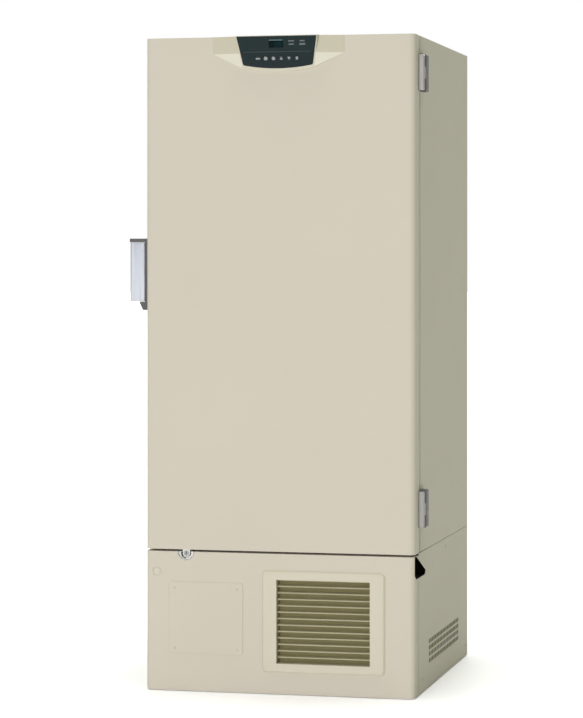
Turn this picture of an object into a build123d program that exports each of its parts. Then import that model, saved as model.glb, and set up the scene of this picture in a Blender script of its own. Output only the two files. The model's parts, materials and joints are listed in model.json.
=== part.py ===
from build123d import *
import os

# Cabinet frame: x across from the middle, y back from the door's front face, z up from the floor.
# Cabinet
width = 790
depth = 880
height = 1880
sheet = 1.2
front_radius = 18
wall = 80
coil_space = 12
skirt_gap = 10

# Outer door
door_bottom = 408
door_depth = 70
gasket_depth = 12
gasket_width = 26
gasket_inset = 16
gasket_relief = 0.5
plug_depth = 70
plug_side_gap = 15
plug_taper = 4

# Seams
shell_seam = 1
panel_seam = 6
side_seam = 2

# Hinges of the outer door
hinge_rise = 124
hinge_drop = 106
hinge_leaf_height = 105
hinge_door_leaf_height = 102
hinge_plate = 16.5
hinge_offset = 9
hinge_barrel_r = 8.5
hinge_pin_r = 4
hinge_axis_back = 6
hinge_leaf_reach = 52
hinge_door_leaf_reach = 26
hinge_leaf_gap = 12
hinge_edge = 2
running_gap = 0.05
knuckle_gap = 0.5

# Latch handle on the left edge of the door
latch_rise = 688
latch_height = 207
latch_reach = 57.6
latch_ear = 10.6
latch_ear_round = 8
latch_boss = 24
latch_boss_width = 22
latch_boss_shoulder = 8
latch_base_plate = 5
latch_base_front = 14
latch_base_back = 66
latch_pivot_out = 11
latch_pivot_y = 40
latch_hub_r = 5
latch_pin_r = 3
latch_grip = 7
latch_grip_flat = 0.4
latch_tail_height = 26
latch_tail_reach = 60
latch_play = 1
strike_depth = 26
strike_height = 46
strike_stand = 6

# Control housing on the top of the door
housing_reach = 30
housing_lip = 3
housing_half = 194
housing_crease_drop = 49
housing_half_bottom = 106
housing_bottom_drop = 89
housing_depth_drop = 103
housing_wall = 3
face_half_top = 117
face_half_bottom = 102
face_top_margin = 2
face_side_height = 85
face_height = 95
face_corner = 6
face_border = 3
face_thickness = 2
key_count = 6
key_pitch = 22.8
key_r = 7
key_gap = 0.3
key_rise = 1.0
key_travel = 1.0
key_drop = 66
key_switch = 0.8
window_clear = 0.2
display_size = (42, 24)
display_place = (-2, -23)
lamp_size = (20, 17)
lamp_places = ((43, -21), (75, -21))
board_gap = 4
board_thickness = 1.6

# Lock under the door
lock_inset = 120
lock_drop = 11
lock_case_r = 11
lock_plug_r = 7
lock_front = 6
lock_length = 32
lock_tongue_reach = 14.5
lock_tongue = 3
lock_tongue_width = 6
lock_scoop_r = 25
lock_scoop_wall = 3
lock_dish_r = 21
lock_dish_depth = 14
lock_dish_rim = 0.5
sill_clear = 1

# Lower front panel
panel_depth = 56
panel_pivot_in = 6
panel_pivot_y = 50
panel_lug_heights = (60, 330)
panel_lug = 4
panel_lug_r = 4.8
panel_pin_r = 3
panel_bracket = 4
panel_lug_slot = 2
grille_margin = 85.6
grille_z = 209
grille_height = 290
grille_border = (43, 25.5)
grille_corner = 14
grille_rise = 6
grille_bevel = 5
grille_duct = 22
grille_duct_wall = 2
slot_count = 13
slot_pitch = 18.4
slat = 3.4
slat_rise = 2.5
slat_depth = 12
slat_recess = 6
filter_depth = 8
recorder_margin = 69.7
recorder_gap = 56.7
recorder_z = 213
recorder_size = (220, 205)
recorder_corner = 8
recorder_thickness = 2
recorder_hole = (180, 165)
dish_inset = 34
dish_z = 344
dish_r = 14
dish_depth = 2

# Finger notch in the right edge of the lower panel
notch_front = 10
notch_back = 169
notch_low = 337
notch_tip = 349
notch_depth = 34
notch_wall = 2
notch_round = 12

# Cold chamber
shelf_count = 3
shelf_sheet = 2
shelf_lip = 14
shelf_front = 196
shelf_rail = 12
shelf_rail_height = 6
shelf_side_gap = 1
inner_door_front = 150
inner_door_depth = 40
inner_door_gap = 4
inner_door_field = 3
inner_door_border = 40
inner_pull = (22, 90, 6)
inner_pivot_in = 6
inner_pin_r = 3
inner_pin_length = 12
inner_bracket = 3
inner_bracket_size = (20, 32)
inner_bracket_gap = 1
coil_tube_r = 4
coil_rows = 9
coil_bend = 9

# Machine compartment
base_top = 95
base_plate_sheet = 3
post = 40
post_sheet = 3
rail_height = 30
panel_back_gap = 5
vent_back = 414
vent_z = 107
vent_columns = 20
vent_rows = 4
vent_pitch = (25, 18.7)
vent_hole = (19, 13)
cover_louvre_margin = 110
cover_louvre_gap = 70
cover_louvre_height = 8
cover_louvre_rows = 9
cover_louvre_pitch = 22
cover_bottom = 60
cover_louvre_start = 150
inlet_inset = 115
inlet_z = 122
inlet_size = (50, 32)
inlet_depth = 24
inlet_flange = 6
inlet_socket = (30, 20, 14)
spacer_inset = 145
spacer_drop = 180
spacer_reach = 40
spacer_width = 60
spacer_flange = 22
spacer_sheet = 4
spacer_height = 70
spacer_hole_r = 4.5
compressor_insets = (215, 255)
compressor_back = 240
compressor_r = 88
compressor_height = 205
compressor_waist = 5
compressor_base_r = 62
compressor_crown_r = 53
compressor_bulge = 26
compressor_plate = (88, 70)
compressor_mount = (70, 53)
compressor_seam_z = 123
compressor_foot = 12
compressor_seam = 6
condenser_half = 140
condenser_front = 80
condenser_depth = 50
condenser_fins = 20
condenser_fin = 2
condenser_top = 358
condenser_end = 3
condenser_tube = 10
shroud_depth = 34
shroud_gap = 2
shroud_wall = 3
fan_z = 235
fan_r = 108
fan_hub_r = 30
fan_hub_depth = 26
fan_blades = 5
fan_blade_pitch = 28
fan_blade_width = 49
fan_blade = 2
fan_root = 4
fan_tip_gap = 6
motor_r = 42
motor_length = 64
motor_shaft_r = 4
motor_gap = 10
motor_stand_back = 19
motor_stand_half = 30
electrical_box_size = (170, 190, 210)
electrical_box_inset = 115
electrical_box_y = 285

# Feet and casters
foot_inset = 37
foot_y = 90
foot_pad_r = 18
foot_pad = 8
foot_stem_r = 6
foot_stem_top = 130
foot_boss_r = 12
foot_boss = 16
wheel_r = 40
wheel_width = 28
wheel_axle_r = 5
wheel_side_gap = 1
wheel_edge = 3
caster_cheek = 4
rear_caster_inset = 75
rear_caster_back = 80
front_caster_inset = 95
front_caster_y = 170
front_caster_lift = 3
front_caster_trail = 25
front_wheel_r = 34
fork_plate = 5
fork_stem_r = 8
fork_gap = 1
caster_cheek_half = 22

# Worked out from the sizes above
half = width / 2
cabinet_front = door_depth + gasket_depth
shell_bottom = door_bottom + shell_seam
panel_top = door_bottom - panel_seam
side_top = shell_bottom - side_seam
side_front = panel_depth + panel_back_gap
chamber_half = half - wall
chamber_floor = shell_bottom + wall
chamber_top = height - wall
chamber_back = depth - wall
chamber_mid = (chamber_floor + chamber_top) / 2
hinge_heights = (door_bottom + hinge_rise, height - hinge_drop)
hinge_x = half + hinge_offset
hinge_y = door_depth + hinge_axis_back
latch_bottom = door_bottom + latch_rise
latch_top = latch_bottom + latch_height
latch_x = -half - latch_pivot_out
latch_left = -half - latch_reach
lock_x = -half + lock_inset
lock_z = door_bottom - lock_drop
recorder_x = -half + recorder_margin + recorder_size[0] / 2
grille_left = recorder_x + recorder_size[0] / 2 + recorder_gap
grille_right = half - grille_margin
grille_x = (grille_left + grille_right) / 2
grille_size = (grille_right - grille_left, grille_height)
grille_opening = [size - 2 * border for size, border in zip(grille_size, grille_border)]
dish_x = -half + dish_inset
panel_pivot_x = -half + panel_pivot_in
inner_door_half = chamber_half - inner_door_gap
inner_pivot_x = inner_door_half - inner_pivot_in
inner_pivot_y = inner_door_front + inner_pivot_in
frame_front = side_front + sheet
foot_x = half - foot_inset
front_caster_x = half - front_caster_inset
rear_caster_x = half - rear_caster_inset
rear_caster_y = depth - rear_caster_back
compressor_y = depth - compressor_back
compressor_places = {
    "compressor_high_stage": -half + compressor_insets[0],
    "compressor_low_stage": half - compressor_insets[1],
}
electrical_box_x = -half + electrical_box_inset
vent_y = depth - vent_back
spacer_x = half - spacer_inset
spacer_z = height - spacer_drop
inlet_x = -half + inlet_inset
cover_louvre_length = half - cover_louvre_margin - cover_louvre_gap / 2
cover_louvre_x = (cover_louvre_gap + cover_louvre_length) / 2
housing_tilt = Plane(
    origin=(0, -housing_reach, height),
    x_dir=(1, 0, 0),
    z_dir=(0, -housing_depth_drop, housing_lip - housing_reach),
)
shift_x = (half + hinge_offset + hinge_barrel_r + latch_left) / 2
face_front = housing_tilt.from_local_coords(Vector(0, -face_top_margin, face_thickness)).Y
shift_y = (depth + spacer_reach + face_front) / 2


def block(x0, x1, y0, y1, z0, z1):
    """Box between two corners."""
    return Pos((x0 + x1) / 2, (y0 + y1) / 2, (z0 + z1) / 2) * Box(x1 - x0, y1 - y0, z1 - z0)


def post_rod(x, y, z0, z1, r):
    """Upright round bar."""
    return Pos(x, y, (z0 + z1) / 2) * Cylinder(r, z1 - z0)


def front_rod(x, z, y0, y1, r):
    """Round bar that runs from front to back."""
    return Pos(x, (y0 + y1) / 2, z) * Rot(90, 0, 0) * Cylinder(r, y1 - y0)


def side_rod(y, z, x0, x1, r):
    """Round bar that runs across."""
    return Pos((x0 + x1) / 2, y, z) * Rot(0, 90, 0) * Cylinder(r, x1 - x0)


def front_plate(outline, y0, y1):
    """Outline drawn as seen from the front, given a thickness from y0 back to y1."""
    return Pos(0, y1, 0) * extrude(Plane.XZ * outline, y1 - y0)


def slab(x_half, y0, y1, z0, z1, r):
    """Slab with its two upright front edges rounded."""
    body = block(-x_half, x_half, y0, y1, z0, z1)
    return fillet(body.edges().filter_by(Axis.Z).group_by(Axis.Y)[0], r)


def tray(y_back, z0, z1):
    """Folded sheet front with rounded upright edges, open at the back."""
    outer = slab(half, 0, y_back, z0, z1, front_radius)
    inner = slab(half - sheet, sheet, y_back + sheet, z0 + sheet, z1 - sheet, front_radius - sheet)
    return outer - inner


def open_box(x_half, y0, y1, z0, z1, inner_sheet):
    """Sheet box that is open at the front; the sizes are its outside."""
    outer = block(-x_half, x_half, y0, y1, z0, z1)
    inside = block(-x_half + inner_sheet, x_half - inner_sheet, y0 - inner_sheet, y1 - inner_sheet,
                   z0 + inner_sheet, z1 - inner_sheet)
    return outer - inside


def group(solids):
    """Separate solids kept in one node."""
    return Compound([solid for piece in solids for solid in piece.solids()])


# Cabinet body
def make_outer_shell():
    return open_box(half, cabinet_front, depth, shell_bottom, height, sheet)


def make_insulation_panels():
    out = half - sheet
    into = chamber_half + sheet + coil_space
    y0 = cabinet_front + gasket_depth
    y1 = depth - sheet
    z0 = shell_bottom + sheet
    z1 = height - sheet
    low = chamber_floor - sheet - coil_space
    high = chamber_top + sheet + coil_space
    back = chamber_back + sheet + coil_space
    return group([
        block(-out, -into, y0, y1, z0, z1),
        block(into, out, y0, y1, z0, z1),
        block(-into, into, y0, y1, z0, low),
        block(-into, into, y0, y1, high, z1),
        block(-into, into, back, y1, low, high),
    ])


def shelf_levels():
    step = (chamber_top - chamber_floor) / (shelf_count + 1)
    return [chamber_floor + step * (i + 1) for i in range(shelf_count)]


def make_inner_liner():
    """Welded chamber of five sheets, with a rail under each end of a shelf."""
    out = chamber_half + sheet
    low = chamber_floor - sheet
    high = chamber_top + sheet
    liner = [
        block(-out, out, cabinet_front, chamber_back, low, chamber_floor),
        block(-out, out, cabinet_front, chamber_back, chamber_top, high),
        block(-out, out, chamber_back, chamber_back + sheet, low, high),
    ]
    for side in (-1, 1):
        x0, x1 = sorted((side * chamber_half, side * out))
        liner.append(block(x0, x1, cabinet_front, chamber_back, chamber_floor, chamber_top))
        rail0, rail1 = sorted((side * chamber_half, side * (chamber_half - shelf_rail)))
        for level in shelf_levels():
            liner.append(block(rail0, rail1, shelf_front, chamber_back, level - shelf_rail_height, level))
    return group(liner)


def make_breaker_frame():
    y1 = cabinet_front + gasket_depth
    ring = block(-half + sheet, half - sheet, cabinet_front, y1, shell_bottom + sheet, height - sheet)
    hole = block(-chamber_half - sheet, chamber_half + sheet, cabinet_front - 1, y1 + 1,
                 chamber_floor - sheet, chamber_top + sheet)
    return ring - hole


def make_shelves():
    reach = chamber_half - shelf_side_gap
    shelves = []
    for level in shelf_levels():
        plate = block(-reach, reach, shelf_front, chamber_back - shelf_side_gap, level, level + shelf_sheet)
        lip = block(-reach + shelf_rail, reach - shelf_rail, shelf_front, shelf_front + shelf_sheet,
                    level - shelf_lip, level)
        shelves.append(plate + lip)
    return group(shelves)


def make_evaporator_coil():
    """Tube wound back and forth round the liner's sides and back, in the space behind it."""
    x = chamber_half + sheet + coil_space / 2
    back = chamber_back + sheet + coil_space / 2
    front = shelf_front
    step = (chamber_top - chamber_floor) / (coil_rows + 1)
    points = []
    for row in range(coil_rows):
        z = chamber_floor + step * (row + 1)
        turn = [(-x, front, z), (-x, back, z), (x, back, z), (x, front, z)]
        points += turn if row % 2 == 0 else turn[::-1]
    path = FilletPolyline(*points, radius=coil_bend)
    return sweep(Plane(path @ 0, z_dir=path % 0) * Circle(coil_tube_r), path=path)


# Inner doors and their hinge brackets
def inner_door_span(upper):
    edge = inner_bracket + inner_bracket_gap
    middle = inner_bracket / 2 + inner_bracket_gap
    if upper:
        return chamber_mid + middle, chamber_top - edge
    return chamber_floor + edge, chamber_mid - middle


def make_inner_door(upper):
    z0, z1 = inner_door_span(upper)
    y1 = inner_door_front + inner_door_depth
    door = block(-inner_door_half, inner_door_half, inner_door_front, y1, z0, z1)
    border = inner_door_border
    door -= block(-inner_door_half + border, inner_door_half - border, inner_door_front,
                  inner_door_front + inner_door_field, z0 + border, z1 - border)
    pull_width, pull_height, pull_rise = inner_pull
    pull_x = -inner_door_half + (border - pull_width) / 2
    middle = (z0 + z1) / 2
    door += block(pull_x, pull_x + pull_width, inner_door_front - pull_rise, inner_door_front,
                  middle - pull_height / 2, middle + pull_height / 2)
    bore = inner_pin_length + inner_bracket_gap
    for low, high in ((z0, z0 + bore), (z1 - bore, z1)):
        door -= post_rod(inner_pivot_x, inner_pivot_y, low, high, inner_pin_r + running_gap)
    return door


def make_inner_door_brackets():
    size_x, size_y = inner_bracket_size
    reach = inner_pin_length - inner_bracket_gap
    spans = (
        (chamber_floor, chamber_floor + inner_bracket, False, True),
        (chamber_mid - inner_bracket / 2, chamber_mid + inner_bracket / 2, True, True),
        (chamber_top - inner_bracket, chamber_top, True, False),
    )
    brackets = []
    for low, high, pin_down, pin_up in spans:
        plate = block(chamber_half - size_x, chamber_half, inner_pivot_y - inner_pivot_in,
                      inner_pivot_y - inner_pivot_in + size_y, low, high)
        pin_low = low - reach if pin_down else low
        pin_high = high + reach if pin_up else high
        brackets.append(plate + post_rod(inner_pivot_x, inner_pivot_y, pin_low, pin_high, inner_pin_r))
    return group(brackets)


# Outer door
def make_outer_door_skin():
    return tray(door_depth - sheet, door_bottom, height)


def plug_sketch(inset):
    return Rectangle(2 * (chamber_half - plug_side_gap - inset),
                     chamber_top - chamber_floor - 2 * (plug_side_gap + inset))


def plug_body(y0, y1, inset):
    """Tapered plug on the back of the door that fills the mouth of the chamber."""
    near = Plane(origin=(0, y0, chamber_mid), x_dir=(1, 0, 0), z_dir=(0, -1, 0)) * plug_sketch(inset)
    back = Plane(origin=(0, y1, chamber_mid), x_dir=(1, 0, 0), z_dir=(0, -1, 0))
    return loft([near, back * plug_sketch(inset + plug_taper)])


def make_door_insulation():
    back = door_depth - sheet
    fill = slab(half - sheet, sheet, back, door_bottom + sheet, height - sheet, front_radius - sheet)
    return group([fill, plug_body(door_depth, door_depth + plug_depth - sheet, sheet)])


def make_door_liner():
    back = block(-half, half, door_depth - sheet, door_depth, door_bottom, height)
    hollow = plug_body(door_depth, door_depth + plug_depth - sheet, sheet)
    return back + (plug_body(door_depth, door_depth + plug_depth, 0) - hollow)


def make_door_gasket():
    """Magnetic seal: a foot on the door and a narrower face towards the cabinet."""
    out_x = half - gasket_inset
    low = door_bottom + gasket_inset
    high = height - gasket_inset
    face = cabinet_front - gasket_relief
    middle = (door_depth + face) / 2
    step = gasket_width / 4
    foot = block(-out_x, out_x, door_depth, middle, low, high)
    lip = block(-out_x + step, out_x - step, middle, face, low + step, high - step)
    w = gasket_width
    hole = block(-out_x + w, out_x - w, door_depth - 1, middle, low + w, high - w)
    lip_w = gasket_width - step
    lip_hole = block(-out_x + lip_w, out_x - lip_w, middle - 1, face + 1, low + lip_w, high - lip_w)
    return (foot - hole) + (lip - lip_hole) - hole


# Hinges of the outer door
def knuckle_spans(middle):
    third = hinge_door_leaf_height / 3
    low = middle - hinge_leaf_height / 2
    high = middle + hinge_leaf_height / 2
    return (low, middle - third / 2), (middle - third / 2, middle + third / 2), (middle + third / 2, high)


def make_hinge_cabinet_leaves():
    leaves = []
    for middle in hinge_heights:
        bottom, _, top = knuckle_spans(middle)
        y0 = hinge_y + hinge_leaf_gap
        plate = block(half, half + hinge_plate, y0, hinge_y + hinge_leaf_reach, bottom[0], top[1])
        plate = chamfer(plate.faces().sort_by(Axis.X)[-1].edges(), hinge_edge)
        for low, high in (bottom, top):
            plate += post_rod(hinge_x, hinge_y, low, high, hinge_barrel_r)
            plate += block(half, hinge_x, hinge_y, y0 + hinge_edge, low, high)
        leaves.append(plate + post_rod(hinge_x, hinge_y, bottom[0], top[1], hinge_pin_r))
    return group(leaves)


def make_hinge_door_leaves():
    leaves = []
    for middle in hinge_heights:
        low, high = knuckle_spans(middle)[1]
        low += knuckle_gap
        high -= knuckle_gap
        y1 = hinge_y - hinge_leaf_gap
        plate = block(half, half + hinge_plate, hinge_y - hinge_door_leaf_reach, y1,
                      middle - hinge_door_leaf_height / 2, middle + hinge_door_leaf_height / 2)
        plate = chamfer(plate.faces().sort_by(Axis.X)[-1].edges(), hinge_edge)
        plate += post_rod(hinge_x, hinge_y, low, high, hinge_barrel_r)
        plate += block(half, hinge_x, y1 - hinge_edge, hinge_y, low, high)
        leaves.append(plate - post_rod(hinge_x, hinge_y, low - 1, high + 1, hinge_pin_r + running_gap))
    return group(leaves)


# Latch handle
def make_latch_base():
    """Plate on the door's edge with an ear above, a tapered boss below and the pivot pin between them."""
    face = -half - latch_base_plate
    base = block(face, -half, latch_base_front, latch_base_back, latch_bottom, latch_top)
    base = fillet(base.faces().sort_by(Axis.X)[0].edges().filter_by(Axis.Z), latch_base_plate / 2)
    y0 = latch_pivot_y - latch_hub_r - latch_ear
    y1 = latch_pivot_y + latch_hub_r + latch_ear
    ear = block(latch_left, face, y0, y1, latch_top - latch_ear, latch_top)
    ear = fillet(ear.edges().filter_by(Axis.Z).group_by(Axis.X)[0], latch_ear_round)
    boss_top = latch_bottom + latch_boss
    boss = make_face(Polyline((face, latch_bottom + latch_boss_shoulder), (latch_x, latch_bottom),
                              (latch_x - latch_hub_r, latch_bottom), (face - latch_boss_width, boss_top),
                              (face, boss_top), close=True))
    base += ear + front_plate(boss, y0, y1)
    return base + post_rod(latch_x, latch_pivot_y, boss_top, latch_top - latch_ear, latch_pin_r)


def lever_span():
    return latch_bottom + latch_boss + latch_play, latch_top - latch_ear - latch_play


def make_latch_grip():
    """Bright plate that is pulled, seated in a groove against the lever's hub."""
    low, high = lever_span()
    grip_y = latch_pivot_y - latch_grip / 2
    grip = block(latch_left, latch_x, grip_y, grip_y + latch_grip, low, high)
    grip = fillet(grip.edges().filter_by(Axis.Z).group_by(Axis.X)[0], (latch_grip - latch_grip_flat) / 2)
    return grip - post_rod(latch_x, latch_pivot_y, low - 1, high + 1, latch_hub_r)


def make_latch_lever():
    """Hub that turns on the pin, with a tail that reaches back over the strike."""
    low, high = lever_span()
    hub = post_rod(latch_x, latch_pivot_y, low, high, latch_hub_r)
    tail_low = (low + high - latch_tail_height) / 2
    tail = block(latch_x - latch_pin_r, latch_x + latch_pin_r, latch_pivot_y,
                 latch_pivot_y + latch_tail_reach, tail_low, tail_low + latch_tail_height)
    tail = chamfer(tail.edges().filter_by(Axis.Z).group_by(Axis.Y)[-1], latch_pin_r - 1)
    bore = post_rod(latch_x, latch_pivot_y, low - 1, high + 1, latch_pin_r + running_gap)
    return hub + tail - bore


def make_latch_strike():
    middle = sum(lever_span()) / 2
    y0 = cabinet_front + strike_stand
    strike = block(-half - strike_stand, -half, y0, y0 + strike_depth,
                   middle - strike_height / 2, middle + strike_height / 2)
    return chamfer(strike.faces().sort_by(Axis.X)[0].edges().filter_by(Axis.Z), strike_stand - 1)


# Control housing
def face_side_point(drop):
    """Point on the tilted front, just outside the dark face's right edge and a drop below its top."""
    slope = (face_half_top - face_half_bottom) / (face_side_height - face_top_margin)
    x = face_half_top - slope * (drop - face_top_margin) + face_border
    return housing_tilt.from_local_coords(Vector(x, -drop, 0))


def make_control_housing():
    """Wedge with a tilted front; two facets on each side run out to the door's face."""
    top = height
    crease = (housing_half, top - housing_crease_drop)
    bottom = (housing_half_bottom, top - housing_bottom_drop)
    edge = Polyline((-bottom[0], bottom[1]), (-crease[0], crease[1]), (-housing_half, top),
                    (housing_half, top), crease, bottom)
    belly = ThreePointArc(bottom, (0, top - housing_depth_drop), (-bottom[0], bottom[1]))
    wedge = front_plate(make_face([edge, belly]), -housing_reach, 0)
    wedge = split(wedge, bisect_by=housing_tilt, keep=Keep.BOTTOM)
    crease_point = Vector(crease[0], 0, crease[1])
    top_point = Vector(housing_half, 0, top)
    face_top = Vector(face_half_top, -housing_reach, top)
    face_crease = face_side_point(housing_crease_drop)
    face_bottom = face_side_point(face_side_height)
    upper = (crease_point - top_point).cross(face_top - top_point)
    lower = (face_bottom - crease_point).cross(face_crease - crease_point)
    for side in (1, -1):
        for point, normal in ((top_point, upper), (crease_point, lower)):
            out = Vector(-side * normal.X, -normal.Y, -normal.Z)
            facet = Plane(origin=(side * point.X, point.Y, point.Z), z_dir=out)
            wedge = split(wedge, bisect_by=facet, keep=Keep.BOTTOM)
    return wedge - board_space()


def face_outline():
    """Outline of the dark face, in the plane of the housing's tilted front."""
    edge = Polyline((-face_half_bottom, -face_side_height), (-face_half_top, -face_top_margin),
                    (face_half_top, -face_top_margin), (face_half_bottom, -face_side_height))
    belly = ThreePointArc((face_half_bottom, -face_side_height), (0, -face_height),
                          (-face_half_bottom, -face_side_height))
    outline = make_face([edge, belly])
    return fillet(outline.vertices().group_by(Axis.Y)[0], face_corner)


def board_space():
    """Room for the board behind the face, closed towards the door by a thin back."""
    low = -key_drop - key_r - housing_wall
    space = Pos(0, (low - housing_wall) / 2) * Rectangle(2 * (face_half_bottom - 2 * housing_wall),
                                                        -low - housing_wall)
    return extrude(housing_tilt * space, -(board_gap + board_thickness + key_rise))


def key_x(index):
    return key_pitch * (index - (key_count - 1) / 2)


def make_control_faceplate():
    outline = face_outline()
    for index in range(key_count):
        outline -= Pos(key_x(index), -key_drop) * Circle(key_r + key_gap)
    outline -= Pos(*display_place) * Rectangle(*display_size)
    for place in lamp_places:
        outline -= Pos(*place) * Rectangle(*lamp_size)
    return extrude(housing_tilt * outline, face_thickness)


def window_block(place, size):
    pane = Pos(*place) * Rectangle(size[0] - 2 * window_clear, size[1] - 2 * window_clear)
    return extrude(housing_tilt * pane, face_thickness - window_clear)


def make_display_windows():
    panes = [window_block(display_place, display_size)]
    panes += [window_block(place, lamp_size) for place in lamp_places]
    return group(panes)


def make_key(index):
    """Round cap that stands in its hole in the face and moves straight in."""
    cap = Pos(key_x(index), -key_drop) * Circle(key_r)
    back = housing_tilt.offset(-board_gap + 2 * key_travel)
    return extrude(back * cap, board_gap - 2 * key_travel + face_thickness + key_rise)


def make_control_board():
    low = -key_drop - key_r - housing_wall
    back = housing_tilt.offset(-board_gap - board_thickness)
    width_room = 2 * (face_half_bottom - 3 * housing_wall)
    board = extrude(back * Pos(0, (low - housing_wall) / 2) * Rectangle(width_room, -low - 2 * housing_wall),
                    board_thickness)
    front = housing_tilt.offset(-board_gap)
    for index in range(key_count):
        board += extrude(front * Pos(key_x(index), -key_drop) * Rectangle(key_r, key_r), key_switch)
    screen = Pos(*display_place) * Rectangle(*display_size)
    lamps = [Pos(*place) * Rectangle(*lamp_size) for place in lamp_places]
    for part in [screen] + lamps:
        board += extrude(front * part, board_gap - window_clear)
    return board


# Lock
def make_lock_housing():
    y1 = lock_front + lock_length
    case = front_rod(lock_x, lock_z, lock_front, y1, lock_case_r)
    case += block(lock_x - lock_case_r, lock_x + lock_case_r, lock_front, y1, lock_z, door_bottom)
    return case - front_rod(lock_x, lock_z, lock_front - 1, y1 + 1, lock_plug_r + running_gap)


def sill_front():
    return lock_front + lock_length + 2 * lock_tongue


def make_lock_cylinder():
    tongue_y = sill_front() + 2 * lock_tongue
    plug = front_rod(lock_x, lock_z, lock_front - 1, tongue_y + lock_tongue, lock_plug_r)
    plug -= block(lock_x - 1, lock_x + 1, lock_front - 1, lock_front + lock_tongue,
                  lock_z - lock_plug_r / 2, lock_z + lock_plug_r / 2)
    tongue = block(lock_x - lock_tongue_reach, lock_x, tongue_y, tongue_y + lock_tongue,
                   lock_z - lock_tongue_width / 2, lock_z + lock_tongue_width / 2)
    return plug + tongue


def make_lock_bezel():
    """Half-round scoop in the panel's top edge, with a low sill that the lock's tongue drops behind."""
    inner_r = lock_scoop_r - lock_scoop_wall
    scoop = front_rod(lock_x, panel_top, 0, panel_depth, lock_scoop_r)
    scoop -= front_rod(lock_x, panel_top, lock_dish_depth, panel_depth + 1, inner_r)
    scoop -= Pos(lock_x, lock_dish_depth / 2, panel_top) * Rot(90, 0, 0) * Cone(
        lock_dish_r, lock_scoop_r - lock_dish_rim, lock_dish_depth)
    sill_top = lock_z - lock_case_r - sill_clear
    sill = front_rod(lock_x, panel_top, sill_front(), sill_front() + lock_tongue, lock_scoop_r)
    sill &= block(lock_x - lock_scoop_r, lock_x + lock_scoop_r, 0, panel_depth, 0, sill_top)
    scoop += sill
    return scoop & block(lock_x - lock_scoop_r, lock_x + lock_scoop_r, 0, panel_depth, 0, panel_top)


# Lower front panel
def notch_prism(x0, x1):
    """Three-cornered finger notch, drawn as seen from the right side."""
    outline = make_face(Polyline((notch_front, panel_top + panel_seam), (notch_back, notch_tip),
                                 (notch_back - notch_round, notch_low), (2 * notch_front, notch_low),
                                 (notch_front, notch_low + notch_front), close=True))
    return Pos(x0, 0, 0) * extrude(Plane.YZ * outline, x1 - x0)


def panel_cut(x, z, size):
    """Square cut through the sheet of the panel's front."""
    return Pos(x, sheet / 2, z) * Box(size[0], 4 * sheet, size[1])


def make_front_panel():
    panel = tray(panel_depth, skirt_gap, panel_top)
    panel -= panel_cut(grille_x, grille_z, [size + 2 * grille_duct_wall for size in grille_opening])
    panel -= panel_cut(recorder_x, recorder_z, recorder_hole)
    panel -= front_rod(lock_x, panel_top, -1, panel_depth + 1, lock_scoop_r)
    panel -= notch_prism(half - front_radius, half + 1)
    panel += front_rod(dish_x, dish_z, 0, dish_depth + sheet, dish_r + sheet)
    dish = Rot(90, 0, 0) * Cone(dish_r - dish_depth, dish_r, dish_depth)
    panel -= Pos(dish_x, dish_depth / 2, dish_z) * dish
    for z in panel_lug_heights:
        lug = post_rod(panel_pivot_x, panel_pivot_y, z, z + panel_lug, panel_lug_r)
        lug += block(-half + sheet, panel_pivot_x, panel_pivot_y - panel_lug_r - panel_lug,
                     panel_pivot_y + panel_lug, z, z + panel_lug)
        panel += lug
        panel -= post_rod(panel_pivot_x, panel_pivot_y, z - 1, z + panel_lug + 1, panel_pin_r + running_gap)
        panel -= block(-half - 1, -half + 2 * sheet, panel_pivot_y - panel_lug_r - panel_lug_slot,
                       panel_depth + 1, z - panel_bracket - panel_lug_slot, z)
    return panel


def make_panel_hinge_brackets():
    brackets = []
    for z in panel_lug_heights:
        low = z - panel_bracket
        plate = block(panel_pivot_x - panel_lug, panel_pivot_x + 4 * panel_lug, panel_pivot_y - panel_lug_r,
                      frame_front, low, z - knuckle_gap)
        pin = post_rod(panel_pivot_x, panel_pivot_y, low, z + 2 * panel_lug, panel_pin_r)
        brackets.append(plate + pin)
    return group(brackets)


def rounded_frame(size, corner, inset):
    return Pos(grille_x, grille_z) * RectangleRounded(size[0] - 2 * inset, size[1] - 2 * inset, corner)


def grille_block(margin, y0, y1):
    """Block as large as the grille's opening, with a margin all round."""
    x, z = (size / 2 + margin for size in grille_opening)
    return Pos(grille_x, 0, grille_z) * block(-x, x, y0, y1, -z, z)


def make_intake_grille():
    """Bevelled frame, a duct through the panel and a row of slanted slats set back in it."""
    frame = front_plate(rounded_frame(grille_size, grille_corner, 0), -grille_rise, 0)
    frame = chamfer(frame.faces().sort_by(Axis.Y)[0].edges(), grille_bevel)
    duct = grille_block(grille_duct_wall, 0, grille_duct)
    grille = frame + duct - grille_block(0, -grille_rise - 1, grille_duct + 1)
    back = slat_recess + slat_depth
    first = grille_z + (slot_pitch * slot_count - slat - slat_rise) / 2
    room = grille_block(0, 0, grille_duct)
    for row in range(slot_count + 1):
        z = first - row * slot_pitch
        profile = make_face(Polyline((slat_recess, z), (back, z + slat_rise), (back, z + slat_rise + slat),
                                     (slat_recess, z + slat), close=True))
        bar = extrude(Plane.YZ * profile, grille_opening[0])
        grille += Pos(grille_x - grille_opening[0] / 2, 0, 0) * bar & room
    return grille


def make_air_filter():
    return grille_block(grille_duct_wall, grille_duct, grille_duct + filter_depth)


def make_recorder_cover():
    outline = Pos(recorder_x, recorder_z) * RectangleRounded(*recorder_size, recorder_corner)
    cover = front_plate(outline, -recorder_thickness, 0)
    return chamfer(cover.faces().sort_by(Axis.Y)[0].edges(), recorder_thickness / 2)


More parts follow.
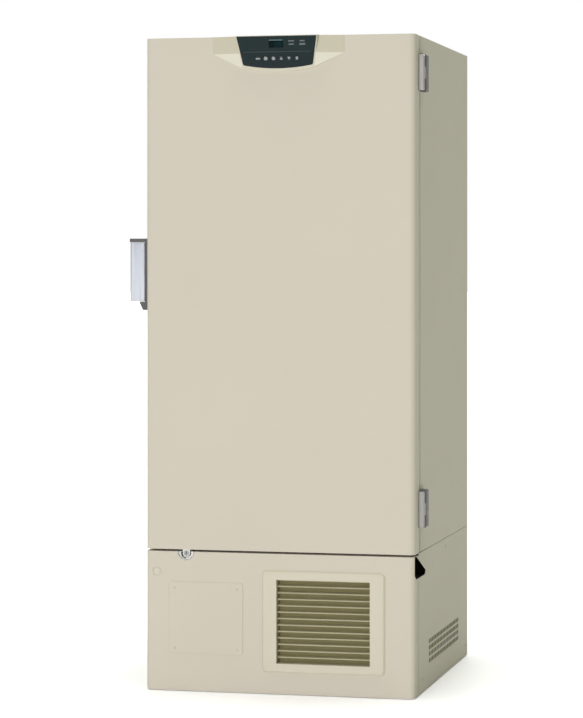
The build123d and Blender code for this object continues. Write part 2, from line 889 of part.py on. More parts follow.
def make_grip_pocket():
    """Black tray behind the finger notch, open outwards; its rear half is fixed to the side panel."""
    clear = notch_wall + sheet
    x0 = half - 2 * sheet - notch_wall - notch_depth
    y0 = notch_front + clear
    z0 = notch_low - clear
    z1 = panel_top - clear
    pocket = block(x0, x0 + notch_depth, y0, notch_back + clear, z0, z1)
    pocket += block(x0, half - sheet, frame_front, notch_back + clear, z0, z1)
    hollow = block(x0 + notch_wall, half, y0 + notch_wall, notch_back + sheet,
                   z0 + notch_wall, z1 - notch_wall)
    return pocket - hollow


# Machine compartment
def make_base_plate():
    """Floor of the machine space, with the rear caster forks and the nuts of the levelling feet under it."""
    out = half - sheet
    plate = block(-out, out, frame_front, depth - sheet, base_top - base_plate_sheet, base_top)
    under = base_top - base_plate_sheet
    for side in (-1, 1):
        plate += post_rod(side * foot_x, foot_y, under - foot_boss, under, foot_boss_r)
        plate -= post_rod(side * foot_x, foot_y, under - foot_boss - 1, base_top + 1,
                          foot_stem_r + running_gap)
        plate -= post_rod(side * front_caster_x, front_caster_y, 0, base_top + 1, fork_stem_r + running_gap)
        plate += caster_cheeks(side * rear_caster_x, rear_caster_y, wheel_r, under)
    return plate


def caster_cheeks(x, y, axle_z, top):
    """Two cheeks and the axle between them."""
    inner = wheel_width / 2 + wheel_side_gap
    outer = inner + caster_cheek
    fork = side_rod(y, axle_z, x - outer, x + outer, wheel_axle_r)
    for low, high in ((-outer, -inner), (inner, outer)):
        cheek = make_face(Polyline((y - wheel_axle_r - caster_cheek, axle_z - wheel_axle_r - caster_cheek),
                                   (y + wheel_axle_r + caster_cheek, axle_z - wheel_axle_r - caster_cheek),
                                   (y + caster_cheek_half, top), (y - caster_cheek_half, top), close=True))
        fork += Pos(x + low, 0, 0) * extrude(Plane.YZ * cheek, high - low)
    return fork


def make_caster_fork(side):
    x, y = side * front_caster_x, front_caster_y
    top = base_top - base_plate_sheet - fork_gap
    axle_z = front_wheel_r + front_caster_lift
    inner = wheel_width / 2 + wheel_side_gap + caster_cheek
    plate = block(x - inner, x + inner, y - caster_cheek_half, y + front_caster_trail + caster_cheek_half,
                  top - fork_plate, top)
    fork = plate + caster_cheeks(x, y + front_caster_trail, axle_z, top - fork_plate)
    return fork + post_rod(x, y, top, base_top + fork_plate, fork_stem_r)


def make_wheel(x, y, axle_z, r):
    tread = side_rod(y, axle_z, x - wheel_width / 2, x + wheel_width / 2, r)
    tread = chamfer(tread.edges().filter_by(GeomType.CIRCLE), wheel_edge)
    return tread - side_rod(y, axle_z, x - wheel_width, x + wheel_width, wheel_axle_r + running_gap)


def make_levelling_foot(side):
    x = side * foot_x
    pad = post_rod(x, foot_y, 0, foot_pad, foot_pad_r)
    return pad + post_rod(x, foot_y, foot_pad, foot_stem_top, foot_stem_r)


def make_machine_frame():
    """Four angle posts on the base plate and four rails that carry the cold cabinet."""
    out = half - sheet
    back = depth - sheet
    rail_low = shell_bottom - rail_height
    right_front = notch_back + 2 * (notch_wall + sheet)
    starts = {-1: frame_front, 1: right_front}
    members = []
    for side, front in starts.items():
        x0, x1 = sorted((side * out, side * (out - post)))
        leg0, leg1 = sorted((side * out, side * (out - post_sheet)))
        for y0, leg_y in ((front, front), (back - post, back - post_sheet)):
            angle = block(x0, x1, leg_y, leg_y + post_sheet, base_top, rail_low)
            angle += block(leg0, leg1, y0, y0 + post, base_top, rail_low)
            members.append(angle)
        members.append(block(leg0, leg1, max(front, cabinet_front), back, rail_low, shell_bottom))
    reach = out - post_sheet
    for y0 in (right_front, back - post):
        members.append(block(-reach, reach, y0, y0 + post, rail_low, shell_bottom))
    return group(members)


def make_side_panel(side):
    x0, x1 = sorted((side * half, side * (half - sheet)))
    panel = block(x0, x1, side_front, depth, skirt_gap, side_top)
    holes = []
    for column in range(vent_columns):
        for row in range(vent_rows):
            y = vent_y + vent_pitch[0] * (column - (vent_columns - 1) / 2)
            z = vent_z + vent_pitch[1] * (row - (vent_rows - 1) / 2)
            holes.append(Pos((x0 + x1) / 2, y, z) * Box(4 * sheet, *vent_hole))
    panel -= holes
    if side > 0:
        panel -= notch_prism(half - front_radius, half + 1)
    return panel


def make_rear_machine_cover():
    out = half - sheet
    cover = block(-out, out, depth - sheet, depth, cover_bottom, side_top)
    holes = []
    louvre = Box(cover_louvre_length, 4 * sheet, cover_louvre_height)
    for side in (-1, 1):
        for row in range(cover_louvre_rows):
            z = cover_louvre_start + row * cover_louvre_pitch
            holes.append(Pos(side * cover_louvre_x, depth, z) * louvre)
    holes.append(Pos(inlet_x, depth, inlet_z) * Box(inlet_size[0], 4 * sheet, inlet_size[1]))
    return cover - holes


def make_power_inlet():
    """Mains inlet in the rear cover: a flange, a body and a socket recess."""
    x, z = inlet_size[0] / 2, inlet_size[1] / 2
    body = block(-x, x, depth - inlet_depth, depth, -z, z)
    body += block(-x - inlet_flange, x + inlet_flange, depth, depth + inlet_flange / 2,
                  -z - inlet_flange, z + inlet_flange)
    socket_x, socket_z, socket_depth = inlet_socket
    body -= block(-socket_x / 2, socket_x / 2, depth + inlet_flange - socket_depth, depth + inlet_flange,
                  -socket_z / 2, socket_z / 2)
    return Pos(inlet_x, 0, inlet_z) * body


def make_rear_spacers():
    """Two folded hat brackets that hold the cabinet off a wall, each with one fixing hole."""
    out = spacer_width / 2
    inside = out - spacer_sheet
    brim = out + spacer_flange
    foot = depth + spacer_sheet
    crown = depth + spacer_reach
    under = crown - spacer_sheet
    hat = make_face(Polyline((-brim, depth), (-inside, depth), (-inside, under), (inside, under),
                             (inside, depth), (brim, depth), (brim, foot), (out, foot), (out, crown),
                             (-out, crown), (-out, foot), (-brim, foot), close=True))
    spacers = []
    for side in (-1, 1):
        body = extrude(Plane.XY.offset(spacer_z) * Pos(side * spacer_x, 0) * hat, spacer_height)
        hole = front_rod(side * spacer_x, spacer_z + spacer_height / 2, under - 1, crown + 1, spacer_hole_r)
        spacers.append(body - hole)
    return group(spacers)


def make_compressor(x, y):
    """Hermetic can with a weld seam on a foot plate with four rubber mounts."""
    r = compressor_r
    waist = r - compressor_waist
    low = compressor_foot + post_sheet
    high = low + compressor_height
    seam = low + compressor_seam_z
    profile = make_face(Polyline((0, low), (compressor_base_r, low), (waist, low + compressor_bulge),
                                 (waist, seam), (r, seam), (r, seam + compressor_seam),
                                 (waist, seam + compressor_seam), (waist, high - compressor_bulge),
                                 (compressor_crown_r, high), (0, high), close=True))
    can = revolve(Plane.XZ * profile, axis=Axis.Z)
    plate_x, plate_y = compressor_plate
    can += block(-plate_x, plate_x, -plate_y, plate_y, compressor_foot, low)
    for mount_x in (-compressor_mount[0], compressor_mount[0]):
        for mount_y in (-compressor_mount[1], compressor_mount[1]):
            can += post_rod(mount_x, mount_y, 0, compressor_foot, compressor_foot)
    return Pos(x, y, base_top) * can


def make_condenser_coil():
    """Row of upright fins between two end plates, with the tubes passing through them."""
    x0, x1 = grille_x - condenser_half, grille_x + condenser_half
    y1 = condenser_front + condenser_depth
    coil = block(x0, x0 + condenser_end, condenser_front, y1, base_top, condenser_top)
    coil += block(x1 - condenser_end, x1, condenser_front, y1, base_top, condenser_top)
    tube_pitch = condenser_depth
    tube_y = condenser_front + (condenser_depth - condenser_tube) / 2
    low = base_top + tube_pitch / 2
    rows = int((condenser_top - low) // tube_pitch) + 1
    for row in range(rows):
        z = low + row * tube_pitch - condenser_tube / 2
        coil += block(x0, x1, tube_y, tube_y + condenser_tube, z, z + condenser_tube)
    step = (x1 - x0) / (condenser_fins + 1)
    for fin in range(condenser_fins):
        x = x0 + step * (fin + 1)
        coil += block(x - condenser_fin / 2, x + condenser_fin / 2, condenser_front + condenser_end,
                      y1 - condenser_end, base_top + condenser_end, condenser_top - condenser_end)
    return coil


def shroud_front():
    return condenser_front + condenser_depth + shroud_gap


def make_fan_shroud():
    y0 = shroud_front()
    y1 = y0 + shroud_depth
    x0, x1 = grille_x - condenser_half, grille_x + condenser_half
    shroud = block(x0, x1, y0, y0 + shroud_wall, base_top, condenser_top)
    hole_r = fan_r + fan_tip_gap
    shroud += front_rod(grille_x, fan_z, y0, y1, hole_r + shroud_wall)
    return shroud - front_rod(grille_x, fan_z, y0 - 1, y1 + 1, hole_r)


def make_condenser_fan():
    """Hub with flat pitched blades on the motor's shaft."""
    middle = shroud_front() + shroud_depth / 2
    fan = front_rod(0, 0, -fan_hub_depth / 2, fan_hub_depth / 2, fan_hub_r)
    length = fan_r - fan_hub_r + fan_root
    for blade in range(fan_blades):
        vane = Rot(fan_blade_pitch, 0, 0) * Box(length, fan_blade, fan_blade_width)
        fan += Rot(0, 360 / fan_blades * blade, 0) * Pos(fan_hub_r - fan_root + length / 2, 0, 0) * vane
    fan -= front_rod(0, 0, -fan_hub_depth, fan_hub_depth, motor_shaft_r + running_gap)
    return Pos(grille_x, middle, fan_z) * fan


def make_fan_motor():
    """Motor can with its shaft forward and a stand down to the base plate."""
    middle = shroud_front() + shroud_depth / 2
    y0 = middle + fan_hub_depth / 2 + motor_gap
    motor = front_rod(grille_x, fan_z, y0, y0 + motor_length, motor_r)
    motor += front_rod(grille_x, fan_z, middle - fan_hub_depth / 2, y0, motor_shaft_r)
    stand_y = y0 + motor_stand_back
    stand = block(grille_x - motor_stand_half, grille_x + motor_stand_half, stand_y, stand_y + shroud_wall,
                  base_top, fan_z)
    foot = block(grille_x - motor_r, grille_x + motor_r, stand_y, y0 + motor_length,
                 base_top, base_top + shroud_wall)
    return motor + stand + foot


def make_electrical_box():
    size_x, size_y, size_z = electrical_box_size
    x, y = electrical_box_x, electrical_box_y
    box = block(x - size_x / 2, x + size_x / 2, y - size_y / 2, y + size_y / 2, base_top, base_top + size_z)
    return chamfer(box.edges().filter_by(Axis.Z), 3 * sheet)


nodes = {
    "outer_shell": make_outer_shell(),
    "insulation_panels": make_insulation_panels(),
    "inner_liner": make_inner_liner(),
    "breaker_frame": make_breaker_frame(),
    "shelves": make_shelves(),
    "evaporator_coil": make_evaporator_coil(),
    "inner_door_brackets": make_inner_door_brackets(),
    "upper_inner_door": make_inner_door(True),
    "lower_inner_door": make_inner_door(False),
    "outer_door_skin": make_outer_door_skin(),
    "door_insulation": make_door_insulation(),
    "door_liner": make_door_liner(),
    "door_gasket": make_door_gasket(),
    "hinge_cabinet_leaves": make_hinge_cabinet_leaves(),
    "hinge_door_leaves": make_hinge_door_leaves(),
    "latch_base": make_latch_base(),
    "latch_lever": make_latch_lever(),
    "latch_grip": make_latch_grip(),
    "latch_strike": make_latch_strike(),
    "control_housing": make_control_housing(),
    "control_faceplate": make_control_faceplate(),
    "display_windows": make_display_windows(),
    "control_board": make_control_board(),
    "lock_housing": make_lock_housing(),
    "lock_cylinder": make_lock_cylinder(),
    "lock_bezel": make_lock_bezel(),
    "front_panel": make_front_panel(),
    "panel_hinge_brackets": make_panel_hinge_brackets(),
    "intake_grille": make_intake_grille(),
    "air_filter": make_air_filter(),
    "recorder_cover": make_recorder_cover(),
    "grip_pocket": make_grip_pocket(),
    "base_plate": make_base_plate(),
    "machine_frame": make_machine_frame(),
    "left_side_panel": make_side_panel(-1),
    "right_side_panel": make_side_panel(1),
    "rear_machine_cover": make_rear_machine_cover(),
    "power_inlet": make_power_inlet(),
    "rear_spacers": make_rear_spacers(),
    "condenser_coil": make_condenser_coil(),
    "fan_shroud": make_fan_shroud(),
    "condenser_fan": make_condenser_fan(),
    "fan_motor": make_fan_motor(),
    "electrical_box": make_electrical_box(),
}
for index in range(key_count):
    nodes[f"key_{index + 1}"] = make_key(index)
for name, x in compressor_places.items():
    nodes[name] = make_compressor(x, compressor_y)
for name, side in (("left", -1), ("right", 1)):
    nodes[f"levelling_foot_{name}"] = make_levelling_foot(side)
    nodes[f"caster_fork_{name}"] = make_caster_fork(side)
    nodes[f"front_wheel_{name}"] = make_wheel(side * front_caster_x, front_caster_y + front_caster_trail,
                                              front_wheel_r + front_caster_lift, front_wheel_r)
    nodes[f"rear_wheel_{name}"] = make_wheel(side * rear_caster_x, rear_caster_y, wheel_r, wheel_r)

os.makedirs("parts", exist_ok=True)
to_origin = Pos(-shift_x, -shift_y, 0)
for name, shape in nodes.items():
    export_step(to_origin * shape, f"parts/{name}.step")
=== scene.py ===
"""Looks of an upright laboratory freezer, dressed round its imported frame."""
import json
import math

import bmesh
import bpy
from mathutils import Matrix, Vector


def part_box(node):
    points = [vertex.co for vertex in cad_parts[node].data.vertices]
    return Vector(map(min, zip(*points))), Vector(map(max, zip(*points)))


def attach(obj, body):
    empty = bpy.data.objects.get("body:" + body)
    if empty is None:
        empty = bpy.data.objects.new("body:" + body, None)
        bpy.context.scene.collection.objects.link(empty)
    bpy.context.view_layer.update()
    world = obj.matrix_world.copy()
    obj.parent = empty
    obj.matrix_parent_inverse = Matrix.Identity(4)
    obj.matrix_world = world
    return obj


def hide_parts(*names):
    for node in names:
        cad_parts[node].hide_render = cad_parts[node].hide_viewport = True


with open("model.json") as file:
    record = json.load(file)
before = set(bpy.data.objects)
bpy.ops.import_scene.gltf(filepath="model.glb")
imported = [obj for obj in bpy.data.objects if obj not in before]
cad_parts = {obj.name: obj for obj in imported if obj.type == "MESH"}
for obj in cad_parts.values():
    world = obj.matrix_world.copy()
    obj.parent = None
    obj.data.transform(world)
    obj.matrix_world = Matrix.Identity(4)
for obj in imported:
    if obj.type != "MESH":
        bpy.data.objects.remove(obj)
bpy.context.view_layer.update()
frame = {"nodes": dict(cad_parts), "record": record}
nodes = frame["nodes"]

# The cabinet's own frame, in millimetres: x from its middle, y back from the door's face, z up
MM = 0.001
door_low, door_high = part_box("outer_door_skin")
middle_x = (door_low.x + door_high.x) / 2
front_y = door_low.y
half_width = (door_high.x - door_low.x) / 2 / MM
cabinet_height = door_high.z / MM
cabinet_back = (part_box("outer_shell")[1].y - front_y) / MM
sides = (("left", -1), ("right", 1))

# Camera that took the reference view
image_long = 718
focal_pixels = 2687
sensor_long = 36
axis_row = 258.6
camera_place = (1814, -7451, 1245)
camera_turn = 13.41


def spot(x, y, z):
    """Point of the cabinet's frame, in millimetres, as a place in the scene."""
    return Vector((middle_x + x * MM, front_y + y * MM, z * MM))


def srgb(red, green, blue):
    """Screen colour from 0 to 255 as linear light."""
    shares = [level / 255 for level in (red, green, blue)]
    linear = [s / 12.92 if s <= 0.04045 else ((s + 0.055) / 1.055) ** 2.4 for s in shares]
    return (*linear, 1.0)


# Shader helpers
def put(tree, kind, sockets=None, **settings):
    """Adds a node; a socket in the dictionary is linked, and any other value is set."""
    node = tree.nodes.new(kind)
    for key, value in settings.items():
        setattr(node, key, value)
    for key, value in (sockets or {}).items():
        if isinstance(value, bpy.types.NodeSocket):
            tree.links.new(value, node.inputs[key])
        else:
            node.inputs[key].default_value = value
    return node


def object_point(tree):
    return put(tree, "ShaderNodeTexCoord").outputs["Object"]


def along(tree, axis):
    """Place on the surface along one axis, in metres."""
    return put(tree, "ShaderNodeSeparateXYZ", {0: object_point(tree)}).outputs[axis]


def noise(tree, point, scale, detail):
    return put(tree, "ShaderNodeTexNoise", {"Vector": point, "Scale": scale, "Detail": detail}).outputs[0]


def remap(tree, value, low, high, new_low, new_high):
    """Value scaled from one range to another and held inside it."""
    return put(tree, "ShaderNodeMapRange", {"Value": value, "From Min": low, "From Max": high,
                                            "To Min": new_low, "To Max": new_high}).outputs["Result"]


def mix_colour(tree, factor, first, second):
    node = put(tree, "ShaderNodeMix", {0: factor, 6: first, 7: second}, data_type="RGBA")
    return node.outputs[2]


def math_node(tree, operation, first, second=0.0):
    return put(tree, "ShaderNodeMath", {0: first, 1: second}, operation=operation).outputs[0]


def new_group(name, inputs, outputs):
    """Empty shader group with named sockets."""
    group = bpy.data.node_groups.new(name, "ShaderNodeTree")
    for label, kind, value in inputs:
        socket = group.interface.new_socket(label, in_out="INPUT", socket_type=kind)
        socket.default_value = value
    for label, kind in outputs:
        group.interface.new_socket(label, in_out="OUTPUT", socket_type=kind)
    return group, put(group, "NodeGroupInput").outputs, put(group, "NodeGroupOutput").inputs


def make_colour_drift():
    """Colour that wanders a little in brightness over the surface."""
    group, start, end = new_group(
        "colour_drift",
        [("Color", "NodeSocketColor", (1, 1, 1, 1)), ("Spread", "NodeSocketFloat", 0.03),
         ("Patches", "NodeSocketFloat", 3.0)],
        [("Color", "NodeSocketColor")])
    clouds = noise(group, object_point(group), start["Patches"], 5.0)
    low = math_node(group, "SUBTRACT", 1.0, start["Spread"])
    high = math_node(group, "ADD", 1.0, start["Spread"])
    value = remap(group, clouds, 0.3, 0.7, low, high)
    tinted = put(group, "ShaderNodeHueSaturation", {"Color": start["Color"], "Value": value})
    group.links.new(tinted.outputs["Color"], end["Color"])
    return group


def make_orange_peel():
    """Fine dimples of a sprayed coat or a moulded skin."""
    group, start, end = new_group(
        "orange_peel", [("Dimples", "NodeSocketFloat", 500.0)], [("Height", "NodeSocketFloat")])
    group.links.new(noise(group, object_point(group), start["Dimples"], 2.0), end["Height"])
    return group


def make_soft_edge():
    """Normal that rounds sharp edges, and a mask that is bright along them."""
    group, start, end = new_group(
        "soft_edge", [("Radius", "NodeSocketFloat", 0.001)],
        [("Normal", "NodeSocketVector"), ("Edge", "NodeSocketFloat")])
    bevel = put(group, "ShaderNodeBevel", {"Radius": start["Radius"]}, samples=4).outputs[0]
    flat = put(group, "ShaderNodeNewGeometry").outputs["Normal"]
    likeness = put(group, "ShaderNodeVectorMath", {0: bevel, 1: flat},
                   operation="DOT_PRODUCT").outputs["Value"]
    group.links.new(bevel, end["Normal"])
    group.links.new(remap(group, likeness, 0.99, 0.8, 0.0, 1.0), end["Edge"])
    return group


def make_brushed_lines():
    """Long fine scratches; the stretch makes them run along the axis with the smallest number."""
    group, start, end = new_group(
        "brushed_lines", [("Stretch", "NodeSocketVector", (1, 1, 1))],
        [("Height", "NodeSocketFloat"), ("Sheen", "NodeSocketFloat")])
    drawn = put(group, "ShaderNodeVectorMath", {0: object_point(group), 1: start["Stretch"]},
                operation="MULTIPLY").outputs[0]
    lines = noise(group, drawn, 1.0, 4.0)
    group.links.new(lines, end["Height"])
    group.links.new(remap(group, lines, 0.3, 0.7, -1.0, 1.0), end["Sheen"])
    return group


def make_floor_dust():
    """Mask of dust that thickens towards the floor and lies in patches."""
    group, start, end = new_group(
        "floor_dust", [("Reach", "NodeSocketFloat", 0.1)], [("Dust", "NodeSocketFloat")])
    low = remap(group, along(group, "Z"), start["Reach"], 0.0, 0.0, 1.0)
    patches = remap(group, noise(group, object_point(group), 60.0, 5.0), 0.35, 0.65, 0.0, 1.0)
    group.links.new(math_node(group, "MULTIPLY", low, patches), end["Dust"])
    return group


colour_drift = make_colour_drift()
orange_peel = make_orange_peel()
soft_edge = make_soft_edge()
brushed_lines = make_brushed_lines()
floor_dust = make_floor_dust()


def use_group(tree, group, sockets):
    return put(tree, "ShaderNodeGroup", sockets, node_tree=group)


def finish(name, roughness, metallic=0.0, gloss=0.25):
    """Material with its one shader and the numbers that are the same all over."""
    material = bpy.data.materials.new(name)
    material.use_nodes = True
    shader = material.node_tree.nodes["Principled BSDF"]
    shader.inputs["Roughness"].default_value = roughness
    shader.inputs["Metallic"].default_value = metallic
    shader.inputs["Specular IOR Level"].default_value = gloss
    return material, material.node_tree, shader


def drifting(tree, colour, spread, patches):
    return use_group(tree, colour_drift, {"Color": colour, "Spread": spread, "Patches": patches}).outputs[0]


def bumped(tree, shader, height, normal, depth, distance):
    """Lays a height over softened edges."""
    bump = put(tree, "ShaderNodeBump", {"Height": height, "Normal": normal, "Strength": depth,
                                        "Distance": distance})
    tree.links.new(bump.outputs[0], shader.inputs["Normal"])


def skin(tree, shader, dimples, depth, radius):
    """Dimpled skin over softened edges; gives back the mask of the edges."""
    edge = use_group(tree, soft_edge, {"Radius": radius})
    peel = use_group(tree, orange_peel, {"Dimples": dimples})
    bumped(tree, shader, peel.outputs["Height"], edge.outputs["Normal"], depth, 0.0004)
    return edge.outputs["Edge"]


def vary_roughness(tree, shader, low, high, patches):
    clouds = noise(tree, object_point(tree), patches, 4.0)
    tree.links.new(remap(tree, clouds, 0.3, 0.7, low, high), shader.inputs["Roughness"])


def lay_over(material, share, colour):
    """Mixes another colour over the one that the material has."""
    tree = material.node_tree
    base = tree.nodes["Principled BSDF"].inputs["Base Color"]
    tree.links.new(mix_colour(tree, share, base.links[0].from_socket, srgb(*colour)), base)


# Finishes
def coated(name, colour, worn, roughness, dimples, depth, radius=0.0012, spread=0.012, gloss=0.25):
    """Sprayed or moulded opaque skin whose edges are rubbed to another shade."""
    material, tree, shader = finish(name, roughness, gloss=gloss)
    edge = skin(tree, shader, dimples, depth, radius)
    base = drifting(tree, srgb(*colour), spread, 2.5)
    faint = math_node(tree, "MULTIPLY", edge, 0.35)
    tree.links.new(mix_colour(tree, faint, base, srgb(*worn)), shader.inputs["Base Color"])
    vary_roughness(tree, shader, roughness - 0.05, roughness + 0.05, 30.0)
    return material


def metal(name, colour, roughness, stretch, depth, spread=0.04):
    """Bare metal with drawn lines."""
    material, tree, shader = finish(name, roughness, metallic=1.0)
    edge = use_group(tree, soft_edge, {"Radius": 0.0012})
    lines = use_group(tree, brushed_lines, {"Stretch": stretch})
    bumped(tree, shader, lines.outputs["Height"], edge.outputs["Normal"], depth, 0.0003)
    tree.links.new(drifting(tree, srgb(*colour), spread, 14.0), shader.inputs["Base Color"])
    tree.links.new(remap(tree, lines.outputs["Sheen"], -1.0, 1.0, roughness - 0.07, roughness + 0.07),
                   shader.inputs["Roughness"])
    return material


def dusty(material, reach, colour):
    """Lays floor dust over the colour that the material has."""
    tree = material.node_tree
    dust = use_group(tree, floor_dust, {"Reach": reach}).outputs[0]
    lay_over(material, math_node(tree, "MULTIPLY", dust, 0.5), colour)
    return material


def cabinet_paint():
    return coated("cabinet_paint", (211, 205, 189), worn=(218, 213, 199), roughness=0.6, dimples=260.0,
                  depth=0.08, gloss=0.04)


def cream(name, colour, worn):
    """Matt moulded plastic of the housing, the grille and the wings."""
    return coated(name, colour, worn, roughness=0.6, dimples=400.0, depth=0.08, gloss=0.04)


def housing_cream():
    return cream("housing_cream", (213, 208, 190), worn=(222, 218, 203))


def grille_cream():
    """The housing's cream, with painted shade on the slats that stand back from the grille's face."""
    material = cream("grille_cream", (214, 209, 190), worn=(222, 218, 203))
    tree = material.node_tree
    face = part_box("intake_grille")[0].y
    # Painted shade: an olive grey laid over the slats that stand back from the grille's face.
    lay_over(material, remap(tree, along(tree, "Y"), face + 0.003, face + 0.006, 0.0, 0.75), (172, 166, 128))
    return material


def liner_white():
    return coated("liner_white", (226, 226, 219), worn=(232, 232, 228), roughness=0.5, dimples=600.0,
                  depth=0.04, radius=0.002, spread=0.006, gloss=0.1)


def foam():
    return coated("foam", (219, 204, 158), worn=(228, 214, 170), roughness=0.85, dimples=420.0,
                  depth=0.8, radius=0.001, spread=0.06)


def seal_rubber():
    return coated("seal_rubber", (188, 184, 168), worn=(200, 196, 182), roughness=0.62, dimples=700.0,
                  depth=0.2, radius=0.0015, spread=0.03)


def latch_grey():
    return coated("latch_grey", (92, 90, 90), worn=(112, 110, 109), roughness=0.5, dimples=800.0, depth=0.18)


def key_grey():
    return coated("key_grey", (46, 55, 56), worn=(70, 78, 80), roughness=0.55, dimples=1800.0,
                  depth=0.15, radius=0.0006, gloss=0.15)


def pocket_black():
    return coated("pocket_black", (20, 18, 10), worn=(34, 32, 24), roughness=0.7, dimples=700.0,
                  depth=0.2, radius=0.0008, gloss=0.1)


def machine_black():
    return coated("machine_black", (38, 38, 40), worn=(62, 62, 64), roughness=0.35, dimples=350.0,
                  depth=0.2, radius=0.0015, spread=0.08)


def fan_grey():
    return coated("fan_grey", (60, 61, 63), worn=(80, 81, 83), roughness=0.45, dimples=900.0,
                  depth=0.15, radius=0.001)


def wheel_black():
    wheel = coated("wheel_black", (42, 42, 42), worn=(60, 60, 59), roughness=0.6, dimples=500.0,
                   depth=0.25, radius=0.002, spread=0.08)
    return dusty(wheel, 0.05, (120, 116, 106))


def board_green():
    return coated("board_green", (28, 92, 58), worn=(60, 130, 90), roughness=0.4, dimples=1500.0,
                  depth=0.2, radius=0.0005, spread=0.08)


def hinge_chrome():
    return coated("hinge_chrome", (165, 163, 158), worn=(182, 180, 175), roughness=0.42, dimples=700.0,
                  depth=0.1, radius=0.0015, gloss=0.3)


# Cabinet's half of the hinges: the door half's metal in a dark grey, painted shade.
def hinge_dark():
    return coated("hinge_dark", (86, 84, 83), worn=(108, 106, 104), roughness=0.5, dimples=700.0,
                  depth=0.15, radius=0.0015)


def face_dark():
    """Satin film whose upper part is a little greener than the strip of keys."""
    face_foot, face_top = 1.795, 1.875
    material, tree, shader = finish("face_dark", 0.55, gloss=0.05)
    skin(tree, shader, 1400.0, 0.06, 0.001)
    rise = remap(tree, along(tree, "Z"), face_foot, face_top, 0.0, 1.0)
    blend = mix_colour(tree, rise, srgb(41, 50, 52), srgb(39, 52, 51))
    tree.links.new(drifting(tree, blend, 0.04, 20.0), shader.inputs["Base Color"])
    return material


def window_glass():
    """Dark tinted pane over the display, and the paler panes over the lamps to its right."""
    display_end, lamps_start = spot(22, 0, 0).x, spot(28, 0, 0).x
    material, tree, shader = finish("window_glass", 0.3, gloss=0.04)
    lamps = remap(tree, along(tree, "X"), display_end, lamps_start, 0.0, 1.0)
    pane = mix_colour(tree, lamps, srgb(8, 20, 23), srgb(46, 58, 58))
    tree.links.new(drifting(tree, pane, 0.08, 60.0), shader.inputs["Base Color"])
    vary_roughness(tree, shader, 0.26, 0.34, 120.0)
    return material


def filter_mesh():
    """Woven dust mesh: crossed threads with dark holes between them."""
    turns_per_metre = 2400.0
    material, tree, shader = finish("filter_mesh", 0.8)
    threads = [math_node(tree, "SINE", math_node(tree, "MULTIPLY", along(tree, axis), turns_per_metre))
               for axis in ("X", "Z")]
    cover = remap(tree, math_node(tree, "MAXIMUM", *threads), -0.2, 0.8, 0.0, 1.0)
    weave = mix_colour(tree, cover, srgb(92, 87, 52), srgb(146, 140, 100))
    tree.links.new(weave, shader.inputs["Base Color"])
    bump = put(tree, "ShaderNodeBump", {"Height": cover, "Strength": 0.5, "Distance": 0.0005})
    tree.links.new(bump.outputs[0], shader.inputs["Normal"])
    return material


def grip_silver():
    """Satin plate, a little brighter towards its foot: painted light, with a darker grey laid over its upper
    part.
    """
    grip_foot, grip_top = 1.13, 1.28
    material = metal("grip_silver", (145, 149, 151), 0.5, (400.0, 400.0, 6.0), 0.06, spread=0.02)
    tree = material.node_tree
    # Painted shade: darker grey over the upper part of the plate, fading out towards its foot.
    lay_over(material, remap(tree, along(tree, "Z"), grip_foot, grip_top, 0.0, 0.35), (112, 116, 120))
    return material


def liner_steel():
    return metal("liner_steel", (172, 174, 175), 0.6, (900.0, 6.0, 900.0), 0.12)


def frame_steel():
    return metal("frame_steel", (128, 130, 130), 0.55, (60.0, 60.0, 60.0), 0.25, spread=0.1)


def coil_copper():
    return metal("coil_copper", (196, 128, 92), 0.28, (300.0, 300.0, 300.0), 0.1, spread=0.1)


def fin_aluminium():
    return metal("fin_aluminium", (138, 140, 142), 0.55, (400.0, 400.0, 30.0), 0.2)


finishes = {make.__name__: make() for make in (
    cabinet_paint, housing_cream, liner_white, foam, seal_rubber, latch_grey, key_grey, pocket_black,
    machine_black, fan_grey, wheel_black, face_dark, window_glass, board_green, filter_mesh, hinge_chrome,
    hinge_dark, grip_silver, liner_steel, frame_steel, coil_copper, fin_aluminium)}
for row in frame["record"]["subparts"]:
    for material_slot in nodes[row["node"]].material_slots:
        material_slot.material = finishes[row["material_slot"]]
nodes["intake_grille"].material_slots[0].material = grille_cream()
for lock_part in ("lock_bezel", "lock_housing"):
    nodes[lock_part].material_slots[0].material = finishes["liner_white"]


# Added pieces, drawn in the cabinet's millimetres
tilt_origin = Vector((0, -30, cabinet_height))
tilt_up = Vector((0, -27, 103)).normalized()
tilt_out = Vector((0, -103, -27)).normalized()
across = Vector((1, 0, 0))


def on_face(u, v, out):
    """Point on the tilted control face: across it, up it and out of it."""
    return tilt_origin + across * u + tilt_up * v + tilt_out * out


def place_piece(piece, body):
    """Adds a piece to the object, riding on a body."""
    bpy.context.scene.collection.objects.link(piece)
    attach(piece, body)
    return piece


def add_piece(name, shape, body, slot, material=None):
    """Makes a drawn shape a piece of the object that rides on a body."""
    bmesh.ops.recalc_face_normals(shape, faces=shape.faces)
    for vertex in shape.verts:
        vertex.co = spot(*vertex.co)
    mesh = bpy.data.meshes.new(name)
    shape.to_mesh(mesh)
    shape.free()
    mesh.shade_smooth()
    mesh.set_sharp_from_angle(angle=math.radians(35))
    mesh.materials.append(material or finishes[slot])
    return place_piece(bpy.data.objects.new(name, mesh), body)


def ring_walls(shape, rings):
    """Walls between rings of points; a ring of one point closes to a tip."""
    for low, high in zip(rings, rings[1:]):
        for i in range(max(len(low), len(high))):
            j = i + 1
            corners = [low[i % len(low)], low[j % len(low)], high[j % len(high)], high[i % len(high)]]
            shape.faces.new(tuple(dict.fromkeys(corners)))


def facing(axis):
    """Turn that points the z axis along another axis."""
    return Vector(axis).to_track_quat("Z", "Y").to_matrix()


